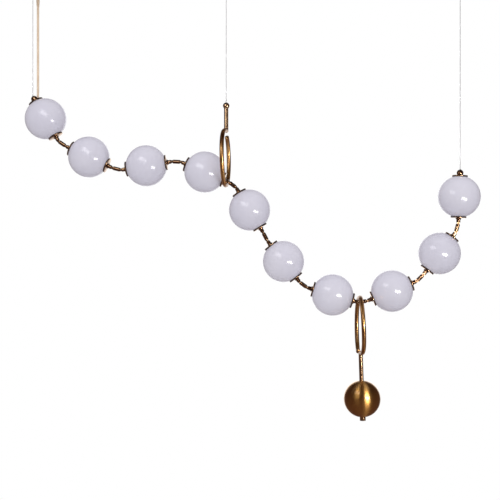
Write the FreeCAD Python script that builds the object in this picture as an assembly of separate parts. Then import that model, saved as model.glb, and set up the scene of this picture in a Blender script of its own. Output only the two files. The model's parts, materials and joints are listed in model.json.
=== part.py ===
import FreeCAD, Part
import os
from math import cos, exp, pi, radians, sin, sqrt

# A suspended lamp: ten opal glass globes joined in one hanging chain, hung on three steel wires.
# Millimetres. The origin is on the ceiling, at the centre of the canopy plate, and +Z is up.
# The chain lies in the XZ plane and runs towards +X. A heading is the angle, in degrees, that a
# stretch of the chain points below the +X direction.

V = FreeCAD.Vector
PARTS = "parts"

# chain
FIRST_GLOBE = V(31.5, 0, -406)
GLOBE_HEADINGS = [60, 25, -9, 23, 59, 52, 16, -22, -53, -88]
LINK_HEADINGS = [34, 14, 3, 37, 63, 36, -9, -45, -74]
GLOBE_TO_PIVOT = 76.0
LINK_LENGTH = 26.0

# glass globe
GLOBE_RADIUS = 60.0
GLASS_WALL = 3.0
GLASS_HOLE_RADIUS = 14.0

# saucer on each pole of a globe
SAUCER_RADIUS = 22.5
SAUCER_THICKNESS = 3.0
SAUCER_RISE = 2.0
SAUCER_SEAT = 57.4

# knuckle between a globe and a link
BARREL_RADIUS = 5.8
HUB_RADIUS = 7.4
HUB_HEIGHT = 3.0
HUB_BULGE_HEIGHT = 1.8
HUB_BULGE_RADIUS = 7.1
KNUCKLE_RADIUS = 3.9
SHOULDER_START = 1.6
SHOULDER_END = 4.4
SHOULDER_BULGE = 0.35
TONGUE_HALF = 1.5
TONGUE_ROOT = 1.0
SLOT_HALF = 1.7
CHEEK_HALF = 4.0
KNUCKLE_GAP = 0.3
PIN_RADIUS = 1.25
PIN_CLEARANCE = 0.05

# light inside a globe
TUBE_RADIUS = 5.0
TUBE_BORE_RADIUS = 3.5
TUBE_END = 66.0
THREAD_CLEARANCE = 0.05
LED_RADIUS = 14.0
LED_HALF_LENGTH = 19.0
LED_FLANGE_RADIUS = 17.0
LED_FLANGE_THICKNESS = 2.0
NUT_ACROSS_FLATS = 16.0
NUT_THICKNESS = 4.0
PLUG_RADIUS = 13.8
PLUG_START = 54.5
PLUG_END = 58.4

# wire balls on the outer poles of the first and last globes
WIRE_BALL_RADIUS = 9.6
WIRE_BALL_CENTRE = 67.6
WIRE_BALL_BORE_RADIUS = 4.0
WIRE_BALL_BORE_DEPTH = 7.0

# rings, rods and the brass ball that hangs from the chain
TUBING_RADIUS = 6.3
RING_RADIUS = 79.5
RING_START_ANGLE = 5
RING_STEP_ANGLE = 10
RING_BEND_ANGLE = 25
UPPER_RING_PITCH = 14.0
UPPER_RING_BEND = 9.5
UPPER_RING_BOW = 7.0
UPPER_RING_CURL = 12.0
UPPER_RING_TURN = 325
DROP_RING_PITCH = 11.2
DROP_RING_BEND = 8.9
DROP_RING_BOW = 14.4
DROP_RING_CURL = 10.6
DROP_RING_TURN = 345
RING_ON_STUB = 69.8
RING_ON_LINK = 7.6
REST_GAP = 0.3
UPPER_BALL_RISE = 71.0
UPPER_BALL_RADIUS = 9.6
ROD_IN_BALL = 6.0
DROP_LEAN = 1.8
DROP_BALL_DROP = 131.0
DROP_BALL_RADIUS = 52.5
DROP_BALL_WALL = 1.5
TIE_ROD_RADIUS = 4.0
TIE_ROD_CLEARANCE = 0.1
FINIAL_RADIUS = 8.5
FINIAL_HEIGHT = 10.5
FINIAL_SINK = 0.8

# wires and power cord
SWING_HEIGHT = -47.0
ANCHOR_RADIUS = 1.3
WIRE_RADIUS = 0.75
WIRE_TOP = -48.6
WIRE_IN_BORE = 3.0
MIDDLE_BORE_RADIUS = 1.2
CORD_RADIUS = 3.5
CORD_X = 4.4
CORD_Y = 12.7
CORD_END = -349.0
CORD_HOLE_RADIUS = 5.2

# ceiling fittings
CANOPY_RADIUS = 60.0
COVER_HEIGHT = 35.0
COVER_WALL = 1.5
COVER_ROUNDING = 5.0
PLATE_RADIUS = 56.0
PLATE_THICKNESS = 2.0
CEILING_SCREW_HOLE_RADIUS = 2.5
CEILING_SCREW_OFFSET = 40.0
CABLE_HOLE_RADIUS = 9.0
STUD_RADIUS = 2.0
STUD_OFFSET = 42.0
STUD_LENGTH = 39.0
THUMB_NUT_RADIUS = 5.0
THUMB_NUT_HEIGHT = 5.0
DRIVER_LENGTH = 64.0
DRIVER_WIDTH = 34.0
DRIVER_HEIGHT = 20.0
DRIVER_TOP = -4.0
DRIVER_ROUNDING = 3.0
GRIPPER_RADIUS = 4.5
GRIPPER_TOP = -29.0
GRIPPER_TAPER = -47.0
GRIPPER_BOTTOM = -51.0
GRIPPER_TIP_RADIUS = 3.0
GRIPPER_BORE_RADIUS = 1.8
GRIPPER_BORE_TOP = -45.0
COLLAR_RADIUS = 7.0
COLLAR_THICKNESS = 2.0
NUT_RIM = 2.5
NUT_HEIGHT = 3.0
GLAND_THREAD_RADIUS = 5.5
GLAND_RADIUS = 7.5
GLAND_TAPER = -42.0
GLAND_BOTTOM = -50.0
GLAND_TIP_RADIUS = 6.2
GLAND_BORE_RADIUS = 4.8
GLAND_BORE_TOP = -44.0
CUP_RADIUS = 24.0
CUP_PLATE_RADIUS = 21.5
CUP_SCREW_OFFSET = 14.0
CUP_ROD_RADIUS = 3.0

X_AXIS = V(1, 0, 0)
Y_AXIS = V(0, 1, 0)
Z_AXIS = V(0, 0, 1)
ORIGIN = V(0, 0, 0)


# ---------------------------------------------------------------- helpers

def save(name, *solids):
    """Writes the solids of one sub-part to its own STEP file."""
    shape = solids[0] if len(solids) == 1 else Part.makeCompound(list(solids))
    for solid in shape.Solids:
        assert solid.isValid() and solid.Volume > 0, name
    shape.exportStep(os.path.join(PARTS, name + ".step"))


def turned(start, *moves):
    """A solid turned about the X axis. Points are (x, radius). A move is the next point, or a pair
    of points: one on the way along an arc, and the arc's end."""
    edges = []
    here = start
    for move in moves + (start,):
        if isinstance(move[0], tuple):
            middle, end = move
            arc = Part.Arc(V(here[0], 0, here[1]), V(middle[0], 0, middle[1]), V(end[0], 0, end[1]))
            edges.append(arc.toShape())
        else:
            end = move
            edges.append(Part.makeLine(V(here[0], 0, here[1]), V(end[0], 0, end[1])))
        here = end
    return Part.Face(Part.Wire(edges)).revolve(ORIGIN, X_AXIS, 360)


def cylinder(radius, start, end, centre=ORIGIN, axis=Z_AXIS):
    """A cylinder from start to end along the axis through the centre."""
    return Part.makeCylinder(radius, end - start, centre + axis * start, axis)


def across(radius, x, half):
    """A cylinder along Y, as wide as half each side of the XZ plane."""
    return cylinder(radius, -half, half, V(x, 0, 0), Y_AXIS)


def block(x_low, x_high, y_half, z_half):
    return Part.makeBox(x_high - x_low, 2 * y_half, 2 * z_half, V(x_low, -y_half, -z_half))


def placed(shape, point, heading):
    """A copy of the shape whose local +X points along the heading from the given point."""
    copy = shape.copy()
    copy.Placement = FreeCAD.Placement(point, FreeCAD.Rotation(Y_AXIS, heading)).multiply(copy.Placement)
    return copy


def along(heading):
    return V(cos(radians(heading)), 0, -sin(radians(heading)))


def across_heading(heading):
    """The direction square to the heading, in the chain's plane, that points up on a level stretch."""
    return V(sin(radians(heading)), 0, cos(radians(heading)))


def mirrored(shape):
    """The same fitting on a globe's other pole."""
    copy = shape.copy()
    copy.rotate(ORIGIN, Z_AXIS, 180)
    return copy


# ---------------------------------------------------------------- chain layout

globe_centres = [FIRST_GLOBE]
link_starts = []
for number, link_heading in enumerate(LINK_HEADINGS):
    link_start = globe_centres[-1] + along(GLOBE_HEADINGS[number]) * GLOBE_TO_PIVOT
    link_end = link_start + along(link_heading) * LINK_LENGTH
    link_starts.append(link_start)
    globe_centres.append(link_end + along(GLOBE_HEADINGS[number + 1]) * GLOBE_TO_PIVOT)


# ---------------------------------------------------------------- globe pieces

def glass_shell():
    outer = sqrt(GLOBE_RADIUS ** 2 - GLASS_HOLE_RADIUS ** 2)
    inner_radius = GLOBE_RADIUS - GLASS_WALL
    inner = sqrt(inner_radius ** 2 - GLASS_HOLE_RADIUS ** 2)
    return turned(
        (outer, GLASS_HOLE_RADIUS),
        ((0, GLOBE_RADIUS), (-outer, GLASS_HOLE_RADIUS)),
        (-inner, GLASS_HOLE_RADIUS),
        ((0, inner_radius), (inner, GLASS_HOLE_RADIUS)),
    )


SAUCER_CURVE = (SAUCER_RADIUS ** 2 + SAUCER_RISE ** 2) / (2 * SAUCER_RISE)
SAUCER_FACE = SAUCER_SEAT + SAUCER_RISE + SAUCER_THICKNESS


def saucer_x(radius, depth):
    """Where the saucer's face is at this radius; depth 0 is its inner face."""
    curve = SAUCER_CURVE + depth
    return SAUCER_SEAT + SAUCER_RISE - SAUCER_CURVE + sqrt(curve ** 2 - radius ** 2)


def saucer():
    """A thin domed disc that covers the glass hole and hugs the globe."""
    hole = TUBE_RADIUS + THREAD_CLEARANCE
    middle = SAUCER_RADIUS / 2
    edge = SAUCER_RADIUS - SAUCER_THICKNESS / 2
    rim = (saucer_x(edge, 0) + saucer_x(edge, SAUCER_THICKNESS)) / 2
    return turned(
        (saucer_x(hole, 0), hole),
        ((saucer_x(middle, 0), middle), (saucer_x(edge, 0), edge)),
        ((rim, SAUCER_RADIUS), (saucer_x(edge, SAUCER_THICKNESS), edge)),
        ((saucer_x(middle, SAUCER_THICKNESS), middle), (saucer_x(hole, SAUCER_THICKNESS), hole)),
    )


def shoulder(pivot, inward):
    """Two moves of an outline: up a rounded shoulder, from the knuckle to the full barrel."""
    low = (pivot + inward * SHOULDER_START, KNUCKLE_RADIUS)
    high = (pivot + inward * SHOULDER_END, BARREL_RADIUS)
    middle = (
        (low[0] + high[0]) / 2 - inward * SHOULDER_BULGE,
        (low[1] + high[1]) / 2 + SHOULDER_BULGE,
    )
    return low, middle, high


def stub():
    """A turned fitting that screws on the tube's end and carries the hinge tongue."""
    bore = TUBE_RADIUS + THREAD_CLEARANCE
    low, middle, high = shoulder(GLOBE_TO_PIVOT, -1)
    hub_top = SAUCER_FACE + HUB_HEIGHT
    bore_end = TUBE_END + THREAD_CLEARANCE
    body = turned(
        (SAUCER_FACE, bore),
        (SAUCER_FACE, HUB_RADIUS),
        ((SAUCER_FACE + HUB_BULGE_HEIGHT, HUB_BULGE_RADIUS), (hub_top, BARREL_RADIUS)),
        high,
        (middle, low),
        (low[0], 0),
        (bore_end, 0),
        (bore_end, bore),
    )
    for side in (-1, 1):
        room = cylinder(KNUCKLE_RADIUS + KNUCKLE_GAP, TONGUE_HALF, 2 * BARREL_RADIUS,
                        V(GLOBE_TO_PIVOT, 0, 0), Y_AXIS * side)
        body = body.cut(room)
    tongue = across(KNUCKLE_RADIUS, GLOBE_TO_PIVOT, TONGUE_HALF)
    tongue = tongue.fuse(block(high[0] - TONGUE_ROOT, GLOBE_TO_PIVOT, TONGUE_HALF, KNUCKLE_RADIUS))
    body = body.fuse(tongue).removeSplitter()
    return body.cut(across(PIN_RADIUS + PIN_CLEARANCE, GLOBE_TO_PIVOT, BARREL_RADIUS)).Solids[0]


def hexagon(across_flats, start, end):
    corner = across_flats / sqrt(3)
    points = [V(start, corner * cos(k * pi / 3), corner * sin(k * pi / 3)) for k in range(7)]
    return Part.Face(Part.makePolygon(points)).extrude(V(end - start, 0, 0))


def light_core():
    """The threaded tube through a globe, with the LED drum, both nuts and both soft plugs."""
    tube = cylinder(TUBE_RADIUS, -TUBE_END, TUBE_END, ORIGIN, X_AXIS)
    tube = tube.cut(cylinder(TUBE_BORE_RADIUS, -TUBE_END, TUBE_END, ORIGIN, X_AXIS))
    hole = TUBE_RADIUS + THREAD_CLEARANCE
    flange = LED_HALF_LENGTH + LED_FLANGE_THICKNESS
    drum = turned(
        (-flange, hole),
        (-flange, LED_FLANGE_RADIUS),
        (-LED_HALF_LENGTH, LED_FLANGE_RADIUS),
        (-LED_HALF_LENGTH, LED_RADIUS),
        (LED_HALF_LENGTH, LED_RADIUS),
        (LED_HALF_LENGTH, LED_FLANGE_RADIUS),
        (flange, LED_FLANGE_RADIUS),
        (flange, hole),
    )
    pieces = [tube, drum]
    bore = cylinder(hole, 0, TUBE_END, ORIGIN, X_AXIS)
    nut = hexagon(NUT_ACROSS_FLATS, PLUG_START - NUT_THICKNESS, PLUG_START).cut(bore)
    plug = cylinder(PLUG_RADIUS, PLUG_START, PLUG_END, ORIGIN, X_AXIS).cut(bore)
    for piece in (nut, plug):
        pieces += [piece, mirrored(piece)]
    return pieces


def wire_ball():
    """The ball on an outer pole: flat on its saucer, with a bore for the wire's end."""
    bore = TUBE_RADIUS + THREAD_CLEARANCE
    ball = Part.makeSphere(WIRE_BALL_RADIUS, V(WIRE_BALL_CENTRE, 0, 0))
    ball = ball.cut(cylinder(2 * WIRE_BALL_RADIUS, 0, SAUCER_FACE, ORIGIN, X_AXIS))
    ball = ball.cut(cylinder(bore, 0, TUBE_END + THREAD_CLEARANCE, ORIGIN, X_AXIS))
    mouth = WIRE_BALL_CENTRE + WIRE_BALL_RADIUS
    wire_bore = cylinder(WIRE_BALL_BORE_RADIUS, mouth - WIRE_BALL_BORE_DEPTH, mouth, ORIGIN, X_AXIS)
    return ball.cut(wire_bore).Solids[0]


# ---------------------------------------------------------------- link pieces

def link_pieces():
    """A barrel with a fork at each end, and its two hinge pins."""
    low, middle, high = shoulder(0, 1)
    far_low, far_middle, far_high = shoulder(LINK_LENGTH, -1)
    barrel = turned(
        (low[0], 0), low, (middle, high),
        far_high, (far_middle, far_low), (far_low[0], 0),
    )
    pins = []
    for pivot, inward in ((0, 1), (LINK_LENGTH, -1)):
        cheek = across(KNUCKLE_RADIUS, pivot, CHEEK_HALF)
        neck_end = pivot + inward * SHOULDER_END
        neck = block(min(pivot, neck_end), max(pivot, neck_end), CHEEK_HALF, KNUCKLE_RADIUS)
        barrel = barrel.fuse(cheek.fuse(neck))
    for pivot in (0, LINK_LENGTH):
        barrel = barrel.cut(across(KNUCKLE_RADIUS + KNUCKLE_GAP, pivot, SLOT_HALF))
        barrel = barrel.cut(across(PIN_RADIUS, pivot, BARREL_RADIUS))
        pins.append(across(PIN_RADIUS, pivot, CHEEK_HALF))
    return [barrel.removeSplitter().Solids[0]] + pins


# ---------------------------------------------------------------- rings

def ring_x(angle, pitch, bend):
    """How far the tube's centre line is from the ring's middle plane. The tube climbs by the pitch
    in a turn, and its first stretch bends back towards that plane to meet the rod."""
    return pitch * (angle - 180) / 360 + bend * exp(-max(angle, 0) / RING_BEND_ANGLE)


def split_ring(pitch, bend, turn, bow, curl):
    """An open ring of bent tube about the X axis, which starts straight down and goes to the back.
    Its second half bows out sideways, and curls in again at its free end."""
    angles = range(-RING_START_ANGLE, turn + 1, RING_STEP_ANGLE)
    points = []
    for angle in angles:
        share = max(angle - 180, 0) / (turn - 180)
        points.append(V(
            ring_x(angle, pitch, bend) + bow * share - curl * share ** 2,
            RING_RADIUS * sin(radians(angle)),
            -RING_RADIUS * cos(radians(angle)),
        ))
    curve = Part.BSplineCurve()
    curve.interpolate(points)
    path = Part.Wire(curve.toShape())
    direction = curve.tangent(curve.FirstParameter)[0]
    profile = Part.Wire(Part.makeCircle(TUBING_RADIUS, points[0], direction))
    return path.makePipeShell([profile], True, True)


os.makedirs(PARTS, exist_ok=True)

shell = glass_shell()
plain_saucer = saucer()
end_stub = stub()
core = light_core()
ball_fitting = wire_ball()
link = link_pieces()
last = len(GLOBE_HEADINGS)

# ---------------------------------------------------------------- globes and links

left_mouth = globe_centres[0] - along(GLOBE_HEADINGS[0]) * (WIRE_BALL_CENTRE + WIRE_BALL_RADIUS)
right_mouth = globe_centres[-1] + along(GLOBE_HEADINGS[-1]) * (WIRE_BALL_CENTRE + WIRE_BALL_RADIUS)

for number, (centre, heading) in enumerate(zip(globe_centres, GLOBE_HEADINGS), start=1):
    name = "globe_%02d" % number
    save(name + "_glass", placed(shell, centre, heading))
    save(name + "_light", *[placed(piece, centre, heading) for piece in core])
    near_saucer = placed(mirrored(plain_saucer), centre, heading)
    far_saucer = placed(plain_saucer, centre, heading)
    fittings = [near_saucer, far_saucer]
    if number == 1:
        cord_hole = cylinder(CORD_HOLE_RADIUS, centre.z, 0, V(CORD_X, CORD_Y, 0))
        fittings[0] = near_saucer.cut(cord_hole)
    else:
        fittings.append(placed(mirrored(end_stub), centre, heading))
    if number < last:
        fittings.append(placed(end_stub, centre, heading))
    save(name + "_caps", *fittings)

save("left_wire_ball", placed(mirrored(ball_fitting), globe_centres[0], GLOBE_HEADINGS[0]))
save("right_wire_ball", placed(ball_fitting, globe_centres[-1], GLOBE_HEADINGS[-1]))

for number, (start, heading) in enumerate(zip(link_starts, LINK_HEADINGS), start=1):
    save("link_%02d" % number, *[placed(piece, start, heading) for piece in link])

# ---------------------------------------------------------------- upper ring, rod and ball
# The ring holds up the stub on the right of the fourth globe.

stub_heading = GLOBE_HEADINGS[3]
tubes_apart = BARREL_RADIUS + TUBING_RADIUS + REST_GAP
stub_middle = globe_centres[3] + along(stub_heading) * RING_ON_STUB
ring_low = stub_middle - across_heading(stub_heading) * tubes_apart
ring_centre = ring_low + Z_AXIS * RING_RADIUS
upper_ring = split_ring(
    UPPER_RING_PITCH, UPPER_RING_BEND, UPPER_RING_TURN, UPPER_RING_BOW, UPPER_RING_CURL)
upper_ring.rotate(ORIGIN, X_AXIS, 180)
upper_ring.translate(ring_centre)
rod_x = ring_centre.x + ring_x(0, UPPER_RING_PITCH, UPPER_RING_BEND)
rod_foot = ring_centre.z + RING_RADIUS
upper_ball_centre = V(rod_x, 0, rod_foot + UPPER_BALL_RISE)
rod_top = upper_ball_centre.z - ROD_IN_BALL
upper_rod = cylinder(TUBING_RADIUS, rod_foot, rod_top, V(rod_x, 0, 0)).cut(upper_ring)
upper_ball = Part.makeSphere(UPPER_BALL_RADIUS, upper_ball_centre)
upper_ball = upper_ball.cut(cylinder(TUBING_RADIUS, rod_foot, rod_top, V(rod_x, 0, 0)))
ball_top = upper_ball_centre.z + UPPER_BALL_RADIUS
wire_end = ball_top - WIRE_IN_BORE
wire_bore = cylinder(MIDDLE_BORE_RADIUS, wire_end - REST_GAP, ball_top, V(rod_x, 0, 0))
save("upper_ring", upper_ring)
save("upper_rod", max(upper_rod.Solids, key=lambda solid: solid.Volume), upper_ball.cut(wire_bore))

# ---------------------------------------------------------------- drop: ring, rod, ball and finial
# The ring rests on the seventh link. Everything below it leans a little.

link_heading = LINK_HEADINGS[6]
hang_point = link_starts[6] + along(link_heading) * RING_ON_LINK
ring_top = hang_point + across_heading(link_heading) * tubes_apart
drop_ring = split_ring(DROP_RING_PITCH, DROP_RING_BEND, DROP_RING_TURN, DROP_RING_BOW, DROP_RING_CURL)
drop_ring.rotate(ORIGIN, Z_AXIS, 180)
drop_ring.translate(V(0, 0, -RING_RADIUS))
drop_rod_x = -ring_x(0, DROP_RING_PITCH, DROP_RING_BEND)
drop_rod_top = -2 * RING_RADIUS
drop_ball_centre = V(drop_rod_x, 0, drop_rod_top - DROP_BALL_DROP)
rod_end = drop_ball_centre.z + DROP_BALL_RADIUS - FINIAL_SINK
drop_rod = cylinder(TUBING_RADIUS, rod_end, drop_rod_top, V(drop_rod_x, 0, 0)).cut(drop_ring)
drop_rod = max(drop_rod.Solids, key=lambda solid: solid.Volume)
finial_top = drop_ball_centre.z - DROP_BALL_RADIUS + FINIAL_SINK
finial_bottom = finial_top - FINIAL_HEIGHT
tie_rod = cylinder(TIE_ROD_RADIUS, finial_top - FINIAL_HEIGHT / 2, rod_end, V(drop_rod_x, 0, 0))
finial = cylinder(FINIAL_RADIUS, finial_bottom, finial_top, V(drop_rod_x, 0, 0))
drop_ball = Part.makeSphere(DROP_BALL_RADIUS, drop_ball_centre)
drop_ball = drop_ball.cut(Part.makeSphere(DROP_BALL_RADIUS - DROP_BALL_WALL, drop_ball_centre))
drop_ball = drop_ball.cut(drop_rod).cut(finial)
tie_hole_radius = TIE_ROD_RADIUS + TIE_ROD_CLEARANCE
drop_ball = drop_ball.cut(cylinder(tie_hole_radius, finial_bottom, drop_rod_top, V(drop_rod_x, 0, 0)))
finial = finial.cut(tie_rod)

drop_pieces = {
    "drop_ring": [drop_ring],
    "drop_rod": [drop_rod, tie_rod],
    "drop_ball": [drop_ball],
    "drop_finial": [finial],
}
for name, solids in drop_pieces.items():
    save(name, *[placed(solid, ring_top, -DROP_LEAN) for solid in solids])

# ---------------------------------------------------------------- wires and power cord

wire_ends = {
    "left_wire": V(left_mouth.x, 0, left_mouth.z - WIRE_IN_BORE),
    "middle_wire": V(rod_x, 0, wire_end),
    "right_wire": V(right_mouth.x, 0, right_mouth.z - WIRE_IN_BORE),
}
for name, end in wire_ends.items():
    save(name, cylinder(WIRE_RADIUS, end.z, WIRE_TOP, V(end.x, 0, 0)))
save("power_cord", cylinder(CORD_RADIUS, CORD_END, SWING_HEIGHT, V(CORD_X, CORD_Y, 0)))

# The ball crimped on each wire's top end, on which the lamp swings.
anchors = [Part.makeSphere(ANCHOR_RADIUS, V(end.x, 0, SWING_HEIGHT)) for end in wire_ends.values()]
save("wire_anchors", *anchors)

# ---------------------------------------------------------------- ceiling fittings

def upright(solid):
    """Turns a solid made about the X axis so that its +X points up."""
    copy = solid.copy()
    copy.rotate(ORIGIN, Y_AXIS, -90)
    return copy


def at(solid, x):
    copy = solid.copy()
    copy.translate(V(x, 0, 0))
    return copy


def cover(radius):
    """A round cup, open at the ceiling, with a rounded lower edge."""
    inner = radius - COVER_WALL
    turn = radius - COVER_ROUNDING
    floor = COVER_WALL - COVER_HEIGHT
    edge = COVER_ROUNDING - COVER_HEIGHT
    diagonal = cos(pi / 4)
    outer_mid = (edge - COVER_ROUNDING * diagonal, turn + COVER_ROUNDING * diagonal)
    inner_round = COVER_ROUNDING - COVER_WALL
    inner_mid = (edge - inner_round * diagonal, turn + inner_round * diagonal)
    return upright(turned(
        (0, inner), (0, radius), (edge, radius),
        (outer_mid, (-COVER_HEIGHT, turn)),
        (-COVER_HEIGHT, 0), (floor, 0), (floor, turn),
        (inner_mid, (edge, inner)),
    ))


def gripper():
    """The wire's fitting: a collar under the cover, and a tapered body with the wire's bore."""
    under = -COVER_HEIGHT
    body = turned(
        (GRIPPER_TOP, 0), (GRIPPER_TOP, GRIPPER_RADIUS), (under, GRIPPER_RADIUS), (under, COLLAR_RADIUS),
        (under - COLLAR_THICKNESS, COLLAR_RADIUS), (under - COLLAR_THICKNESS, GRIPPER_RADIUS),
        (GRIPPER_TAPER, GRIPPER_RADIUS), (GRIPPER_BOTTOM, GRIPPER_TIP_RADIUS), (GRIPPER_BOTTOM, 0),
    )
    return upright(body).cut(cylinder(GRIPPER_BORE_RADIUS, GRIPPER_BOTTOM, GRIPPER_BORE_TOP))


def inside_nut(thread_radius):
    floor = COVER_WALL - COVER_HEIGHT
    nut = cylinder(thread_radius + NUT_RIM, floor, floor + NUT_HEIGHT)
    return nut.cut(cylinder(thread_radius, floor, 0))


canopy = cover(CANOPY_RADIUS)
canopy = canopy.cut(at(cylinder(GRIPPER_RADIUS, -COVER_HEIGHT, 0), left_mouth.x))
canopy = canopy.cut(cylinder(GLAND_THREAD_RADIUS, -COVER_HEIGHT, 0, V(CORD_X, CORD_Y, 0)))
plate = cylinder(PLATE_RADIUS, -PLATE_THICKNESS, 0).cut(cylinder(CABLE_HOLE_RADIUS, -PLATE_THICKNESS, 0))
screws = []
for side in (-1, 1):
    screw_hole = cylinder(CEILING_SCREW_HOLE_RADIUS, -PLATE_THICKNESS, 0)
    plate = plate.cut(at(screw_hole, side * CEILING_SCREW_OFFSET))
    stud_axis = V(0, side * STUD_OFFSET, 0)
    stud = cylinder(STUD_RADIUS, -STUD_LENGTH, 0, stud_axis)
    nut = cylinder(THUMB_NUT_RADIUS, -COVER_HEIGHT - THUMB_NUT_HEIGHT, -COVER_HEIGHT, stud_axis)
    plate = plate.cut(stud)
    canopy = canopy.cut(stud)
    screws += [stud, nut.cut(stud)]
save("canopy_cover", canopy)
save("canopy_plate", plate)
save("canopy_screws", *screws)

driver_corner = V(-DRIVER_LENGTH / 2, -DRIVER_WIDTH / 2, DRIVER_TOP - DRIVER_HEIGHT)
driver = Part.makeBox(DRIVER_LENGTH, DRIVER_WIDTH, DRIVER_HEIGHT, driver_corner)
save("led_driver", driver.makeFillet(DRIVER_ROUNDING, driver.Edges))

save("left_wire_gripper", at(gripper(), left_mouth.x), at(inside_nut(GRIPPER_RADIUS), left_mouth.x))

gland = upright(turned(
    (GRIPPER_TOP, 0), (GRIPPER_TOP, GLAND_THREAD_RADIUS), (-COVER_HEIGHT, GLAND_THREAD_RADIUS),
    (-COVER_HEIGHT, GLAND_RADIUS), (GLAND_TAPER, GLAND_RADIUS),
    (GLAND_BOTTOM, GLAND_TIP_RADIUS), (GLAND_BOTTOM, 0),
))
gland = gland.cut(cylinder(GLAND_BORE_RADIUS, GLAND_BOTTOM, GLAND_BORE_TOP))
gland_nut = inside_nut(GLAND_THREAD_RADIUS)
for piece in (gland, gland_nut):
    piece.translate(V(CORD_X, CORD_Y, 0))
save("cord_gland", gland, gland_nut)

cup = cover(CUP_RADIUS).cut(cylinder(GRIPPER_RADIUS, -COVER_HEIGHT, 0))
cup_plate = cylinder(CUP_PLATE_RADIUS, -PLATE_THICKNESS, 0)
for side in (-1, 1):
    screw_hole = cylinder(CEILING_SCREW_HOLE_RADIUS, -PLATE_THICKNESS, 0)
    cup_plate = cup_plate.cut(at(screw_hole, side * CUP_SCREW_OFFSET))
cup_rod = cylinder(CUP_ROD_RADIUS, GRIPPER_TOP, -PLATE_THICKNESS)
cup_pieces = [cup, cup_plate, cup_rod, gripper()]
save("middle_ceiling_cup", *[at(piece, rod_x) for piece in cup_pieces])
save("right_ceiling_cup", *[at(piece, right_mouth.x) for piece in cup_pieces])
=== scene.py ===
import json
from math import cos, exp, floor, pi, radians, sin, sqrt

import bpy
from mathutils import Matrix, Vector

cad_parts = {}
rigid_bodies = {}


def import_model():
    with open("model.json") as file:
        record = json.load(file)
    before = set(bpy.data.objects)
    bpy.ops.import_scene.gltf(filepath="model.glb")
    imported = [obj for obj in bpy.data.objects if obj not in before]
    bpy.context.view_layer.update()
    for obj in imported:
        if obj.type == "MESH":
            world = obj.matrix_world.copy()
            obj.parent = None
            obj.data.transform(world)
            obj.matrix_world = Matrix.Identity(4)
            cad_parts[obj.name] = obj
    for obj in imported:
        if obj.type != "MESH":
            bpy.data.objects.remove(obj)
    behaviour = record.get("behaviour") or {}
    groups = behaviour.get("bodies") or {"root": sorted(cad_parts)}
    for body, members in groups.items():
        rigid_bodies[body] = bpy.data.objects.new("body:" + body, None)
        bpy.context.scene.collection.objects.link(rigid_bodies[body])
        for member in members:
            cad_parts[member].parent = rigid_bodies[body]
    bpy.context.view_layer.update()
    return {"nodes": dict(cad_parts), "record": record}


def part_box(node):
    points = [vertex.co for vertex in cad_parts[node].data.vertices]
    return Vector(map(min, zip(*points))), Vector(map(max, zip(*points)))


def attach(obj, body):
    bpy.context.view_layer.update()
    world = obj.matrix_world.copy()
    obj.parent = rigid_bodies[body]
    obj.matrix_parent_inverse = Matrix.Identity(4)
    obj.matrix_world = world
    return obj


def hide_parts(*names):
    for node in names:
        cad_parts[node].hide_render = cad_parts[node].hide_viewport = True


for leftover in list(bpy.data.objects):
    bpy.data.objects.remove(leftover)
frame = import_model()

# A hanging chain of opal glass globes with brass fittings. Metres, in the CAD model's frame: the
# origin is on the ceiling, +X runs along the chain, +Y to the back and +Z up.

# ---------------------------------------------------------------- camera

VIEW_CENTRE = Vector((0.631, 0.0, -0.790))
VIEW_DISTANCE = 2.56
VIEW_AZIMUTH = radians(3.5)
FOCAL_LENGTH_MM = 63.8
SENSOR_WIDTH_MM = 36.0
NEAREST_SEEN = 0.05
FURTHEST_SEEN = 60.0

camera_data = bpy.data.cameras.new("camera")
camera_data.lens = FOCAL_LENGTH_MM
camera_data.sensor_width = SENSOR_WIDTH_MM
camera_data.clip_start = NEAREST_SEEN
camera_data.clip_end = FURTHEST_SEEN
camera = bpy.data.objects.new("camera", camera_data)
bpy.context.collection.objects.link(camera)
towards_camera = Vector((sin(VIEW_AZIMUTH), -cos(VIEW_AZIMUTH), 0.0))
camera.location = VIEW_CENTRE + towards_camera * VIEW_DISTANCE
camera.rotation_euler = (-towards_camera).to_track_quat("-Z", "Y").to_euler()
bpy.context.scene.camera = camera
bpy.context.scene.view_settings.view_transform = "Standard"


# ---------------------------------------------------------------- chain layout, as part.py has it

FIRST_GLOBE = Vector((0.0315, 0.0, -0.406))
GLOBE_HEADINGS = [60, 25, -9, 23, 59, 52, 16, -22, -53, -88]
LINK_HEADINGS = [34, 14, 3, 37, 63, 36, -9, -45, -74]
GLOBE_TO_PIVOT = 0.076
LINK_LENGTH = 0.026


def along(heading):
    """The direction of a heading, in degrees below +X."""
    return Vector((cos(radians(heading)), 0.0, -sin(radians(heading))))


def across_heading(heading):
    """The direction square to a heading, upwards where the heading is +X."""
    return Vector((sin(radians(heading)), 0.0, cos(radians(heading))))


globe_centres = [FIRST_GLOBE]
link_starts = []
for number, link_heading in enumerate(LINK_HEADINGS):
    link_start = globe_centres[-1] + along(GLOBE_HEADINGS[number]) * GLOBE_TO_PIVOT
    link_end = link_start + along(link_heading) * LINK_LENGTH
    link_starts.append(link_start)
    globe_centres.append(link_end + along(GLOBE_HEADINGS[number + 1]) * GLOBE_TO_PIVOT)


# ---------------------------------------------------------------- mesh helpers

UP = (0, 0, 1)
ON_AXIS = 1e-7


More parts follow.
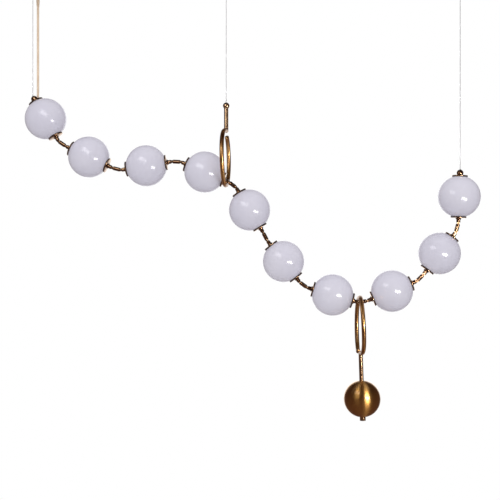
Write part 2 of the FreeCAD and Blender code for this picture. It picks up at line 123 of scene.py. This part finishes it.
def add_mesh(name, points, faces, material, body, slot, smooth=True):
    """Makes a mesh object that rides on a CAD body."""
    mesh = bpy.data.meshes.new(name)
    mesh.from_pydata([tuple(p) for p in points], [], faces)
    mesh.validate()
    mesh.update()
    mesh.polygons.foreach_set("use_smooth", [smooth] * len(mesh.polygons))
    mesh.materials.append(material)
    piece = bpy.data.objects.new(name, mesh)
    bpy.context.collection.objects.link(piece)
    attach(piece, body)
    return piece


def pointing(direction):
    """The turn that takes local +Z to the direction."""
    return Vector(direction).to_track_quat("Z", "Y").to_matrix()


def lathe(profile, centre, direction, segments=48, closed=False):
    """Points and faces of a profile of (radius, height) turned about a direction at a centre."""
    turn = pointing(direction)
    centre = Vector(centre)
    points, rings, faces = [], [], []
    for radius, height in profile:
        if radius < ON_AXIS:
            rings.append([len(points)])
            points.append(centre + turn @ Vector((0, 0, height)))
            continue
        rings.append([len(points) + k for k in range(segments)])
        for k in range(segments):
            angle = 2 * pi * k / segments
            points.append(centre + turn @ Vector((radius * cos(angle), radius * sin(angle), height)))
    pairs = list(zip(rings, rings[1:]))
    if closed:
        pairs.append((rings[-1], rings[0]))
    for low, high in pairs:
        for k in range(segments):
            after = (k + 1) % segments
            if len(low) == 1:
                faces.append((low[0], high[after], high[k]))
            elif len(high) == 1:
                faces.append((low[k], low[after], high[0]))
            else:
                faces.append((low[k], low[after], high[after], high[k]))
    return points, faces


def joined(parts):
    """Several (points, faces) as one."""
    points, faces = [], []
    for some_points, some_faces in parts:
        start = len(points)
        points += some_points
        faces += [tuple(start + k for k in face) for face in some_faces]
    return points, faces


def swept(path, section):
    """Points and faces of a tube with closed ends along a path. section(distance) gives the
    outline at that distance along the path as (x, y) offsets, always the same number of them."""
    points, faces, rings = [], [], []
    distance = 0.0
    side = Vector((1, 0, 0))
    for k, here in enumerate(path):
        before, after = path[max(k - 1, 0)], path[min(k + 1, len(path) - 1)]
        ahead = (after - before).normalized()
        side = (side - ahead * side.dot(ahead)).normalized()
        other = ahead.cross(side)
        if k:
            distance += (here - path[k - 1]).length
        ring = []
        for x, y in section(distance):
            ring.append(len(points))
            points.append(here + side * x + other * y)
        rings.append(ring)
    count = len(rings[0])
    for low, high in zip(rings, rings[1:]):
        for k in range(count):
            after = (k + 1) % count
            faces.append((low[k], low[after], high[after], high[k]))
    faces.append(tuple(reversed(rings[0])))
    faces.append(tuple(rings[-1]))
    return points, faces


def spline_points(controls, step):
    """Points about a step apart along the smooth line of a cord's route."""
    curve = bpy.data.curves.new("route", "CURVE")
    curve.dimensions = "3D"
    spline = curve.splines.new("NURBS")
    spline.points.add(len(controls) - 1)
    for point, place in zip(spline.points, controls):
        point.co = (*place, 1.0)
    spline.order_u = 3
    spline.use_endpoint_u = True
    length = sum((Vector(b) - Vector(a)).length for a, b in zip(controls, controls[1:]))
    curve.resolution_u = max(8, int(length / step / (len(controls) - 1)))
    route = bpy.data.objects.new("route", curve)
    bpy.context.collection.objects.link(route)
    mesh = bpy.data.meshes.new_from_object(route)
    line = [vertex.co.copy() for vertex in mesh.vertices]
    bpy.data.objects.remove(route)
    bpy.data.curves.remove(curve)
    bpy.data.meshes.remove(mesh)
    return line


# ---------------------------------------------------------------- materials

def srgb(red, green, blue):
    """A colour given as 0 to 255 on screen, as linear light."""
    def linear(value):
        value /= 255
        return value / 12.92 if value <= 0.04045 else ((value + 0.055) / 1.055) ** 2.4
    return (linear(red), linear(green), linear(blue), 1.0)


# The part of a noise's range that holds nearly all of its values.
NOISE_LOW, NOISE_HIGH = 0.3, 0.7


class Look:
    """A procedural material: a Principled shader whose colour, roughness and bump come from noise."""

    def __init__(self, name, **constants):
        self.material = bpy.data.materials.new(name)
        self.material.use_nodes = True
        self.tree = self.material.node_tree
        self.shader = self.tree.nodes["Principled BSDF"]
        for socket, value in constants.items():
            self.shader.inputs[socket.replace("_", " ")].default_value = value
        self.place = self.node("ShaderNodeTexCoord").outputs["Object"]

    def node(self, kind, **settings):
        made = self.tree.nodes.new(kind)
        for key, value in settings.items():
            setattr(made, key, value)
        return made

    def link(self, source, target):
        self.tree.links.new(source, target)

    def stretched(self, scale):
        mapping = self.node("ShaderNodeMapping")
        mapping.inputs["Scale"].default_value = scale
        self.link(self.place, mapping.inputs["Vector"])
        return mapping.outputs["Vector"]

    def noise(self, scale, detail=3.0, roughness=0.55, source=None):
        noise = self.node("ShaderNodeTexNoise")
        noise.inputs["Scale"].default_value = scale
        noise.inputs["Detail"].default_value = detail
        noise.inputs["Roughness"].default_value = roughness
        self.link(source or self.place, noise.inputs["Vector"])
        return noise.outputs["Fac"]

    def ramp(self, source, *stops):
        ramp = self.node("ShaderNodeValToRGB")
        elements = ramp.color_ramp.elements
        elements[0].position, elements[0].color = stops[0]
        elements[1].position, elements[1].color = stops[-1]
        for position, colour in stops[1:-1]:
            elements.new(position).color = colour
        self.link(source, ramp.inputs["Fac"])
        return ramp.outputs["Color"]

    def span(self, source, low, high):
        span = self.node("ShaderNodeMapRange")
        span.inputs["From Min"].default_value = NOISE_LOW
        span.inputs["From Max"].default_value = NOISE_HIGH
        span.inputs["To Min"].default_value = low
        span.inputs["To Max"].default_value = high
        self.link(source, span.inputs["Value"])
        return span.outputs["Result"]

    def mixed(self, factor, first, second):
        mix = self.node("ShaderNodeMix", data_type="RGBA")
        inputs = ((mix.inputs[0], factor), (mix.inputs[6], first), (mix.inputs[7], second))
        for socket, value in inputs:
            if isinstance(value, tuple):
                socket.default_value = value
            else:
                self.link(value, socket)
        return mix.outputs[2]

    def colour(self, source):
        self.link(source, self.shader.inputs["Base Color"])

    def roughness(self, source):
        self.link(source, self.shader.inputs["Roughness"])

    def bump(self, source, strength, distance):
        bump = self.node("ShaderNodeBump")
        bump.inputs["Strength"].default_value = strength
        bump.inputs["Distance"].default_value = distance
        self.link(source, bump.inputs["Height"])
        self.link(bump.outputs["Normal"], self.shader.inputs["Normal"])


def opal_glass():
    look = Look("opal_glass", IOR=1.43)
    cloud = look.noise(9.0, 2.0)
    look.colour(look.ramp(cloud, (0.35, srgb(216, 213, 227)), (0.7, srgb(222, 219, 231))))
    look.roughness(look.span(look.noise(30.0, 2.0), 0.15, 0.19))
    look.bump(look.noise(55.0, 2.0), 0.02, 0.0004)
    return look.material


PALE_TONES = (srgb(136, 100, 72), srgb(194, 160, 122), srgb(218, 194, 154))
# Painted shade: the chain's turned brass is the same brass as the rods, in darker tones that dim the
# softbox highlights on the links, saucer caps and wire balls.
PAINTED_SHADE_TONES = (srgb(104, 74, 54), srgb(158, 122, 88), srgb(196, 164, 124))
GOLDEN_TONES = (srgb(146, 98, 56), srgb(196, 146, 88), srgb(224, 180, 112))


def brass(name, rough, axis, tones=PALE_TONES):
    """Lacquered antique brass, turned or drawn, so its highlights run along the axis. The axis is a
    vector, or "X" for metal that runs round the X axis."""
    dark, middle, light = tones
    look = Look(name, Metallic=1.0, Coat_Weight=0.4, Coat_Roughness=0.1, Anisotropic=0.85)
    base = look.ramp(look.noise(26.0, 4.0, 0.5), (0.30, dark), (0.52, middle), (0.75, light))
    fine = look.noise(900.0, 3.0, 0.5)
    look.colour(look.mixed(look.span(fine, 0.0, 0.12), base, dark))
    look.roughness(look.span(fine, *rough))
    look.bump(fine, 0.02, 0.00002)
    if axis == "X":
        tangent = look.node("ShaderNodeTangent", direction_type="RADIAL", axis=axis)
        look.link(tangent.outputs["Tangent"], look.shader.inputs["Tangent"])
        return look.material
    normal = look.node("ShaderNodeNewGeometry").outputs["Normal"]
    around = look.node("ShaderNodeVectorMath", operation="CROSS_PRODUCT")
    around.inputs[0].default_value = axis
    look.link(normal, around.inputs[1])
    along_surface = look.node("ShaderNodeVectorMath", operation="CROSS_PRODUCT")
    look.link(normal, along_surface.inputs[0])
    look.link(around.outputs["Vector"], along_surface.inputs[1])
    look.link(along_surface.outputs["Vector"], look.shader.inputs["Tangent"])
    return look.material


# A little of Y in each axis keeps it off the normals of flat ends, where there would be no tangent.
OFF_AXIS = 0.03
UPRIGHT = (0.0, OFF_AXIS, 1.0)
upright_brass = brass("antique_brass", (0.18, 0.24), UPRIGHT)
rod_brass = brass("rod_brass", (0.22, 0.27), UPRIGHT)
ring_brass = brass("ring_brass", (0.27, 0.31), "X", GOLDEN_TONES)


def brass_along(heading):
    """Brass turned about the chain's direction at this heading, in the darker tones of painted shade.
    """
    direction = along(heading)
    axis = (direction.x, OFF_AXIS, direction.z)
    return brass(f"turned_brass_{heading % 360:03d}", (0.13, 0.17), axis, PAINTED_SHADE_TONES)


QUARTER_TURN = 0.25


def turned_ball():
    """Brass brushed round a vertical axis, so its highlights run from pole to pole."""
    look = Look("brushed_brass", Metallic=1.0, Anisotropic=0.88, Anisotropic_Rotation=QUARTER_TURN,
                Coat_Weight=0.5, Coat_Roughness=0.16)
    lines = look.noise(1.0, 3.0, 0.5, look.stretched((9.0, 9.0, 700.0)))
    patina = look.noise(18.0, 4.0, 0.5)
    base = look.ramp(patina, (0.30, srgb(188, 134, 72)), (0.7, srgb(218, 170, 94)))
    look.colour(look.mixed(look.span(lines, 0.0, 0.2), base, srgb(164, 116, 66)))
    look.roughness(look.span(lines, 0.33, 0.365))
    look.bump(lines, 0.002, 0.00001)
    tangent = look.node("ShaderNodeTangent", direction_type="RADIAL", axis="Z")
    look.link(tangent.outputs["Tangent"], look.shader.inputs["Tangent"])
    return look.material


def steel_wire():
    look = Look("steel_wire", Metallic=1.0)
    grain = look.noise(300.0, 3.0)
    look.colour(look.ramp(grain, (0.3, srgb(196, 198, 202)), (0.7, srgb(232, 233, 236))))
    look.roughness(look.span(look.noise(900.0, 2.0), 0.28, 0.42))
    return look.material


def cord_fabric():
    look = Look("cord_fabric", Sheen_Weight=0.35, Sheen_Roughness=0.4)
    fibres = look.noise(1.0, 4.0, 0.6, look.stretched((3000.0, 3000.0, 900.0)))
    broad = look.noise(60.0, 3.0)
    base = look.ramp(broad, (0.3, srgb(234, 208, 182)), (0.7, srgb(246, 224, 200)))
    look.colour(look.mixed(look.span(fibres, 0.0, 0.4), base, srgb(204, 172, 140)))
    look.roughness(look.span(fibres, 0.6, 0.8))
    look.bump(fibres, 0.3, 0.0001)
    return look.material


def plain(name, low, high, rough, scale=40.0, metallic=0.0, bump=0.1):
    look = Look(name, Metallic=metallic)
    look.colour(look.ramp(look.noise(scale, 4.0), (0.3, low), (0.7, high)))
    look.roughness(look.span(look.noise(scale * 6, 3.0), *rough))
    look.bump(look.noise(scale * 25, 3.0), bump, 0.0001)
    return look.material


LOOKS = {
    "opal_glass": opal_glass(),
    "antique_brass": upright_brass,
    "brushed_brass": turned_ball(),
    "steel_wire": steel_wire(),
    "cord_fabric": cord_fabric(),
    "light_core": plain("light_core", srgb(205, 205, 202), srgb(226, 226, 224), (0.3, 0.45),
                        metallic=1.0),
    "driver_case": plain("driver_case", srgb(222, 222, 219), srgb(234, 234, 231), (0.45, 0.6)),
    "zinc_plate": plain("zinc_plate", srgb(176, 180, 184), srgb(206, 209, 212), (0.35, 0.55),
                        scale=90.0, metallic=1.0),
}
rubber = plain("rubber", srgb(34, 28, 26), srgb(52, 44, 40), (0.55, 0.7))
tan_rubber = plain("tan_rubber", srgb(216, 190, 162), srgb(232, 208, 182), (0.5, 0.65))

globe_brass = [brass_along(heading) for heading in GLOBE_HEADINGS]
link_brass = [brass_along(heading) for heading in LINK_HEADINGS]
own_looks = {"upper_rod": rod_brass, "drop_rod": rod_brass, "upper_ring": ring_brass,
             "drop_ring": ring_brass, "left_wire_ball": globe_brass[0],
             "right_wire_ball": globe_brass[-1]}
own_looks |= {f"globe_{k + 1:02d}_caps": look for k, look in enumerate(globe_brass)}
own_looks |= {f"link_{k + 1:02d}": look for k, look in enumerate(link_brass)}

slots = {part["node"]: part["material_slot"] for part in frame["record"]["subparts"]}
for node, obj in frame["nodes"].items():
    look = own_looks.get(node, LOOKS[slots[node]])
    for k in range(len(obj.material_slots)):
        obj.material_slots[k].material = look


# ---------------------------------------------------------------- cords

def box_middle(node):
    """A node's lowest and highest corners and its middle."""
    low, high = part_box(node)
    return Vector(low), Vector(high), (Vector(low) + Vector(high)) / 2


WIRE_DIAMETER = 0.0015
WIRE_STEP = 0.0008
STRANDS_ROUND = 6
STRAND_SIDES = 6
STRAND_PITCH = 0.011
# Three strands lie across the wire: its core and one on each side.
STRAND_RADIUS = WIRE_DIAMETER / 6
CORD_DIAMETER = 0.007
CORD_STEP = 0.00044


def strand(number, centre_radius):
    """The outline of one strand of a wire, which winds round the wire's middle."""
    def section(distance):
        turn = 2 * pi * (distance / STRAND_PITCH + number / STRANDS_ROUND)
        x, y = centre_radius * cos(turn), centre_radius * sin(turn)
        corners = [2 * pi * k / STRAND_SIDES for k in range(STRAND_SIDES)]
        return [(x + STRAND_RADIUS * cos(angle), y + STRAND_RADIUS * sin(angle))
                for angle in corners]
    return section


# A crimped ferrule: its radius at each height.
FERRULE = [(0.0008, 0.0), (0.0012, 0.0002), (0.0013, 0.0006), (0.0013, 0.0042), (0.0011, 0.0054),
           (0.0008, 0.0062)]
# The middle wire's end is sunk in the rod's ball, and its ferrule sits on top of that.
FERRULE_RISES = {"left_wire": 0.0, "middle_wire": 0.0035, "right_wire": 0.0}


def wire(node, body, ferrule_rise):
    """A taut wire of seven strands with a ferrule near its lower end."""
    low, high, middle = box_middle(node)
    controls = [(middle.x, middle.y, high.z), middle, (middle.x, middle.y, low.z)]
    line = spline_points(controls, WIRE_STEP)
    strands = [swept(line, strand(k, 2 * STRAND_RADIUS)) for k in range(STRANDS_ROUND)]
    strands.append(swept(line, strand(0, 0.0)))
    piece = add_mesh(node + "_strands", *joined(strands), LOOKS["steel_wire"], body, "steel_wire")
    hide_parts(node)
    foot = Vector((middle.x, middle.y, low.z + ferrule_rise))
    ferrule = add_mesh(node + "_ferrule", *lathe(FERRULE, foot, UP, 32), LOOKS["steel_wire"],
                       body, "steel_wire")


for node, ferrule_rise in FERRULE_RISES.items():
    wire(node, node + "_body", ferrule_rise)

BRAID_CARRIERS = 8
BRAID_PITCH = 0.021
BRAID_DEPTH = 0.00022
BRAID_POINTS = 64
# A strand's height between crossings, and how much a crossing adds to it.
BRAID_OPEN = 0.7
BRAID_CROSSING = 0.3


def braid(distance):
    """The outline of a braided sleeve: two families of flat strands that pass over and under."""
    outline = []
    for k in range(BRAID_POINTS):
        share = k / BRAID_POINTS
        first = BRAID_CARRIERS * (share + distance / BRAID_PITCH)
        second = BRAID_CARRIERS * (share - distance / BRAID_PITCH)
        crown_first, crown_second = abs(sin(pi * first)), abs(sin(pi * second))
        if (floor(first) + floor(second)) % 2:
            crown_first, crown_second = crown_second, crown_first
        height = sqrt(crown_first) * (BRAID_OPEN + BRAID_CROSSING * crown_second)
        radius = CORD_DIAMETER / 2 - BRAID_DEPTH * (1 - height)
        angle = 2 * pi * share
        outline.append((radius * cos(angle), radius * sin(angle)))
    return outline


cord_low, cord_high, cord_middle = box_middle("power_cord")
cord_top = Vector((cord_middle.x, cord_middle.y, cord_high.z))
cord_foot = Vector((cord_middle.x, cord_middle.y, cord_low.z))
cord_line = spline_points([cord_top, cord_middle, cord_foot], CORD_STEP)
power_cord = add_mesh("power_cord_braid", *swept(cord_line, braid), LOOKS["cord_fabric"],
                      "power_cord_body", "cord_fabric")
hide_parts("power_cord")

# The ribbed relief hangs clear of the gland, so that the lamp can swing.
RELIEF_TOP = -0.0534
RELIEF_FOOT = -0.0736
RIB_COUNT = 5
RIBS_TOP = -0.0545
RIB_PITCH = 0.0032
FIRST_RIB_RADIUS = 0.0050
RIB_TAPER = 0.00016
# Each corner of a rib, from its own radius and its top.
RIB = [(-0.0004, 0.0), (0.0, -0.0003), (0.0, -0.0015), (-0.0005, -0.0018)]
relief_profile = [(0.0037, RELIEF_TOP), (0.0046, RELIEF_TOP - 0.0003)]
for number in range(RIB_COUNT):
    rib_top = RIBS_TOP - number * RIB_PITCH
    rib_radius = FIRST_RIB_RADIUS - number * RIB_TAPER
    relief_profile += [(rib_radius + wider, rib_top + higher) for wider, higher in RIB]
relief_profile += [(0.0039, RELIEF_FOOT + 0.0002), (0.0036, RELIEF_FOOT)]
relief_profile = [(radius, height - cord_top.z) for radius, height in relief_profile]
relief = add_mesh("power_cord_relief", *lathe(relief_profile, cord_top, UP, 40), tan_rubber,
                  "power_cord_body", "cord_fabric")

# ---------------------------------------------------------------- details on the chain

def bead(radius, height, wire_radius, steps=10):
    """The outline of a thin round bead about the axis, for a closed lathe."""
    angles = [2 * pi * k / steps for k in range(steps)]
    return [(radius + wire_radius * cos(angle), height + wire_radius * sin(angle))
            for angle in angles]


# A soft gasket fills the gap between each saucer's edge and the glass.
GASKET = [(0.0186, 0.0572), (0.0199, 0.0567), (0.0212, 0.0562), (0.0217, 0.0566), (0.0217, 0.0573),
          (0.0212, 0.0576), (0.0199, 0.0578), (0.0188, 0.0579)]
# A turned bead at the foot of each stub, on the saucer.
FOOT_BEAD = bead(0.0076, 0.0628, 0.0007)
for number, (centre, heading) in enumerate(zip(globe_centres, GLOBE_HEADINGS), start=1):
    name = f"globe_{number:02d}"
    poles = [along(heading), -along(heading)]
    add_mesh(name + "_gaskets",
             *joined([lathe(GASKET, centre, pole, 72, closed=True) for pole in poles]),
             rubber, "lamp", "light_core")
    add_mesh(name + "_foot_beads",
             *joined([lathe(FOOT_BEAD, centre, pole, 48, closed=True) for pole in poles]),
             globe_brass[number - 1], "lamp", "antique_brass")

# Domed pin heads on the outer faces of each knuckle's fork.
CHEEK = 0.004
HEAD_RADIUS = 0.0021
HEAD_HEIGHT = 0.0007
HEAD_FOOT = -0.0002
DOME_FOOT = 0.0001
PIN_HEAD = [(HEAD_RADIUS, HEAD_FOOT), (HEAD_RADIUS, DOME_FOOT)]
PIN_HEAD += [(HEAD_RADIUS * cos(radians(a)), DOME_FOOT + HEAD_HEIGHT * sin(radians(a)))
             for a in range(15, 90, 15)]
PIN_HEAD += [(0.0, DOME_FOOT + HEAD_HEIGHT)]
# Thin collars round each link, just inside its forks.
LINK_RADIUS = 0.0058
COLLAR_WIRE = 0.0004
COLLAR_FROM_PIVOT = 0.0062
COLLAR_PLACES = (COLLAR_FROM_PIVOT, LINK_LENGTH - COLLAR_FROM_PIVOT)
for number, (start, heading) in enumerate(zip(link_starts, LINK_HEADINGS), start=1):
    name = f"link_{number:02d}"
    heads = []
    for pivot in (start, start + along(heading) * LINK_LENGTH):
        for side in (-1, 1):
            heads.append(lathe(PIN_HEAD, pivot + Vector((0, side * CHEEK, 0)), (0, side, 0), 24))
    add_mesh(name + "_pin_heads", *joined(heads), link_brass[number - 1], "lamp", "antique_brass")
    collars = [lathe(bead(LINK_RADIUS, place, COLLAR_WIRE), start, along(heading), 40, closed=True)
               for place in COLLAR_PLACES]
    add_mesh(name + "_collars", *joined(collars), link_brass[number - 1], "lamp", "antique_brass")

# ---------------------------------------------------------------- details on the wires and the cord

# A rubber insert lines the bore where a wire enters its ball.
MOUTH_FROM_CENTRE = 0.0772
BORE_RADIUS = 0.004
INSERT = [(0.0028, -0.0030), (0.0028, -0.0006), (0.0031, -0.0002), (0.0037, -0.0004),
          (BORE_RADIUS, -0.0010), (BORE_RADIUS, -0.0030)]
outer_poles = (("left", 0, -along(GLOBE_HEADINGS[0])), ("right", -1, along(GLOBE_HEADINGS[-1])))
for side, globe, pole in outer_poles:
    mouth = globe_centres[globe] + pole * MOUTH_FROM_CENTRE
    add_mesh(side + "_wire_insert", *lathe(INSERT, mouth, pole, 40, closed=True), rubber, "lamp",
             "light_core")

# A grommet lies on the first saucer where the cord goes in.
CORD_ENTRY_HEIGHT = -0.3503
GROMMET = [(0.0049, -0.0016), (0.0047, 0.0), (0.0048, 0.0006), (0.0053, 0.0010), (0.0061, 0.0009),
           (0.0066, 0.0004), (0.0067, -0.0004), (0.0052, -0.0006)]
cord_entry = Vector((cord_middle.x, cord_middle.y, CORD_ENTRY_HEIGHT))
add_mesh("cord_grommet", *lathe(GROMMET, cord_entry, -along(GLOBE_HEADINGS[0]), 48, closed=True),
         rubber, "lamp", "light_core")

# ---------------------------------------------------------------- details on the rings

RING_RADIUS = 0.0795
TUBING_RADIUS = 0.0063
RING_CLEARANCE = 0.0003
TUBES_APART = LINK_RADIUS + TUBING_RADIUS + RING_CLEARANCE
RING_ON_STUB = 0.0698
RING_ON_LINK = 0.0076
DROP_LEAN = radians(1.8)
BEND_ANGLE = 25
# The angle that each ring's tube turns through, and its pitch, bend, bow and curl.
UPPER_RING = (325, 0.014, 0.0095, 0.007, 0.012)
DROP_RING = (345, 0.0112, 0.0089, 0.0144, 0.0106)
CAP_HEIGHT = 0.0036
CAP_FOOT = -0.0002
CAP = [(TUBING_RADIUS, CAP_FOOT)]
CAP += [(TUBING_RADIUS * cos(radians(a)), CAP_HEIGHT * sin(radians(a))) for a in range(0, 90, 10)]
CAP += [(0.0, CAP_HEIGHT)]


def ring_point(angle, turn, pitch, bend, bow, curl):
    """The middle of a ring's tube, from the ring's centre, as part.py has it."""
    share = max(angle - 180, 0) / (turn - 180)
    x = pitch * (angle - 180) / 360 + bend * exp(-max(angle, 0) / BEND_ANGLE)
    x += bow * share - curl * share ** 2
    return Vector((x, RING_RADIUS * sin(radians(angle)), -RING_RADIUS * cos(radians(angle))))


def ring_cap(name, body, shape, turned, origin):
    """A domed cap on the free end of a ring."""
    end_angle = shape[0]
    end = turned @ ring_point(end_angle, *shape)
    before = turned @ ring_point(end_angle - 0.5, *shape)
    add_mesh(name, *lathe(CAP, origin + end, end - before, 40), ring_brass, body, "antique_brass")


# The upper ring goes under the stub on the right of the fourth globe.
upper_low = globe_centres[3] + along(GLOBE_HEADINGS[3]) * RING_ON_STUB
upper_low -= across_heading(GLOBE_HEADINGS[3]) * TUBES_APART
ring_cap("upper_ring_cap", "lamp", UPPER_RING, Matrix.Rotation(pi, 3, "X"),
         upper_low + Vector((0, 0, RING_RADIUS)))
# The lower ring rests on the seventh link and leans a little.
drop_top = link_starts[6] + along(LINK_HEADINGS[6]) * RING_ON_LINK
drop_top += across_heading(LINK_HEADINGS[6]) * TUBES_APART
leaned = Matrix.Rotation(-DROP_LEAN, 3, "Y")
ring_cap("drop_ring_cap", "drop", DROP_RING, leaned @ Matrix.Rotation(pi, 3, "Z"),
         drop_top + leaned @ Vector((0, 0, -RING_RADIUS)))

# ---------------------------------------------------------------- details at the ceiling

NUT_TEETH = 30
NUT_PLACE = 0.042
NUT_RADIUS = 0.0051
TOOTH_DEPTH = 0.0005
TOOTH_OUTLINE = (0.0, 1.0, 1.0, 0.0)
NUT_LOW, NUT_HIGH = -0.0398, -0.0353
NUT_EDGE = 0.0003


def knurled_sleeve(centre):
    """A thumb nut's sleeve, with upright teeth whose ends slope in."""
    rows = [(NUT_LOW, 0.0), (NUT_LOW + NUT_EDGE, 1.0), (NUT_HIGH - NUT_EDGE, 1.0), (NUT_HIGH, 0.0)]
    points, faces = [], []
    count = NUT_TEETH * len(TOOTH_OUTLINE)
    for height, proud in rows:
        for k in range(count):
            reach = NUT_RADIUS + TOOTH_DEPTH * proud * TOOTH_OUTLINE[k % len(TOOTH_OUTLINE)]
            angle = 2 * pi * k / count
            points.append(Vector(centre)
                          + Vector((reach * cos(angle), reach * sin(angle), height)))
    for row in range(len(rows) - 1):
        for k in range(count):
            low_k, low_next = row * count + k, row * count + (k + 1) % count
            faces.append((low_k, low_next, low_next + count, low_k + count))
    faces.append(tuple(reversed(range(count))))
    faces.append(tuple(range((len(rows) - 1) * count, len(rows) * count)))
    return points, faces


sleeves = [knurled_sleeve((0, side * NUT_PLACE, 0)) for side in (-1, 1)]
add_mesh("thumb_nut_knurls", *joined(sleeves), upright_brass, "ceiling", "antique_brass",
         smooth=False)

# ---------------------------------------------------------------- stage

def area_light(name, place, aim, size, power, roll=0.0, gloss=False):
    """A rectangular light, which only gloss sees or only matt surfaces see."""
    data = bpy.data.lights.new(name, "AREA")
    data.shape = "RECTANGLE"
    data.size, data.size_y = size
    data.energy = power
    light = bpy.data.objects.new(name, data)
    bpy.context.collection.objects.link(light)
    light.location = place
    turn = (Vector(aim) - Vector(place)).to_track_quat("-Z", "Y")
    light.rotation_euler = (turn.to_matrix() @ Matrix.Rotation(roll, 3, "Z")).to_euler()
    light.visible_camera = False
    light.visible_glossy = gloss
    light.visible_diffuse = not gloss


# Two softboxes make the highlights. The fills light the glass and don't show in the metal.
area_light("softbox_left", (0.145, -0.85, -0.085), (0.50, 0.0, -0.65), (0.85, 0.35), 4.2,
           radians(-24), gloss=True)
area_light("softbox_right", (1.555, -1.104, -0.925), (0.70, 0.0, -0.80), (0.58, 0.20), 18.0,
           radians(-14), gloss=True)
# The fills: each one's place, the length of its side and its power.
FILLS = {"fill_front": ((0.63, -3.2, -0.19), 3.0, 29.0), "fill_top": ((0.63, -0.6, 2.2), 3.0, 22.0),
         "fill_low": ((0.63, -1.6, -3.2), 3.0, 17.0), "fill_right": ((3.4, -1.4, -0.6), 2.4, 17.0),
         "fill_left": ((-2.2, -1.4, -0.3), 2.4, 14.0), "fill_back": ((0.63, 3.0, 0.2), 3.0, 28.0)}
for name, (place, side, power) in FILLS.items():
    area_light(name, place, VIEW_CENTRE, (side, side), power)


BEHIND_FROM, BEHIND_TO = 0.80, 0.97
BEHIND_LEVEL = 1.5
ROOM_BELOW = (0.16, 0.098, 0.082, 1.0)
ROOM_ABOVE = (0.035, 0.02, 0.021, 1.0)
MATT_BELOW, MATT_ABOVE = 0.38, 0.57


def studio_world():
    """A white background. Gloss sees a dark warm room with a pale wall straight behind the lamp,
    and matt surfaces are lit by an even grey."""
    world = bpy.data.worlds.new("studio")
    bpy.context.scene.world = world
    world.use_nodes = True
    tree = world.node_tree
    background = tree.nodes["Background"]

    def node(kind, **settings):
        made = tree.nodes.new(kind)
        for key, value in settings.items():
            setattr(made, key, value)
        return made

    def span(source, from_low, from_high, low, high):
        made = node("ShaderNodeMapRange", interpolation_type="SMOOTHSTEP")
        limits = {"From Min": from_low, "From Max": from_high, "To Min": low, "To Max": high}
        for socket, value in limits.items():
            made.inputs[socket].default_value = value
        tree.links.new(source, made.inputs["Value"])
        return made.outputs["Result"]

    def blend(factor, first, second):
        made = node("ShaderNodeMix", data_type="RGBA")
        tree.links.new(factor, made.inputs[0])
        for socket, value in ((made.inputs[6], first), (made.inputs[7], second)):
            if isinstance(value, tuple):
                socket.default_value = value
            else:
                tree.links.new(value, socket)
        return made.outputs[2]

    def grey(level):
        return (level, level, level, 1.0)

    rays = node("ShaderNodeLightPath")
    axes = node("ShaderNodeSeparateXYZ")
    tree.links.new(node("ShaderNodeTexCoord").outputs["Generated"], axes.inputs[0])
    behind = span(axes.outputs["Y"], BEHIND_FROM, BEHIND_TO, 0.0, 1.0)
    upward = span(axes.outputs["Z"], -1.0, 1.0, 0.0, 1.0)
    room = blend(upward, ROOM_BELOW, ROOM_ABOVE)
    gloss = blend(behind, room, grey(BEHIND_LEVEL))
    matt = blend(upward, grey(MATT_BELOW), grey(MATT_ABOVE))
    lit = blend(rays.outputs["Is Glossy Ray"], matt, gloss)
    seen = blend(rays.outputs["Is Camera Ray"], lit, grey(1.0))
    tree.links.new(seen, background.inputs["Color"])


studio_world()

# The floor, far below the lamp. Gloss doesn't see it, so it doesn't brighten the metal from below.
FLOOR_MIDDLE = (0.56, 0.0, -2.45)
FLOOR_RADIUS = 1.8
floor_profile = [(0.0, 0.0), (FLOOR_RADIUS / 2, 0.0), (FLOOR_RADIUS, 0.0)]
floor_points, floor_faces = lathe(floor_profile, FLOOR_MIDDLE, UP, 96)
floor_mesh = bpy.data.meshes.new("floor")
floor_mesh.from_pydata([tuple(p) for p in floor_points], [], floor_faces)
floor_look = plain("floor", srgb(240, 240, 240), srgb(246, 246, 246), (0.6, 0.7), scale=4.0)
floor_mesh.materials.append(floor_look)
stage_floor = bpy.data.objects.new("floor", floor_mesh)
bpy.context.collection.objects.link(stage_floor)
stage_floor.visible_glossy = False
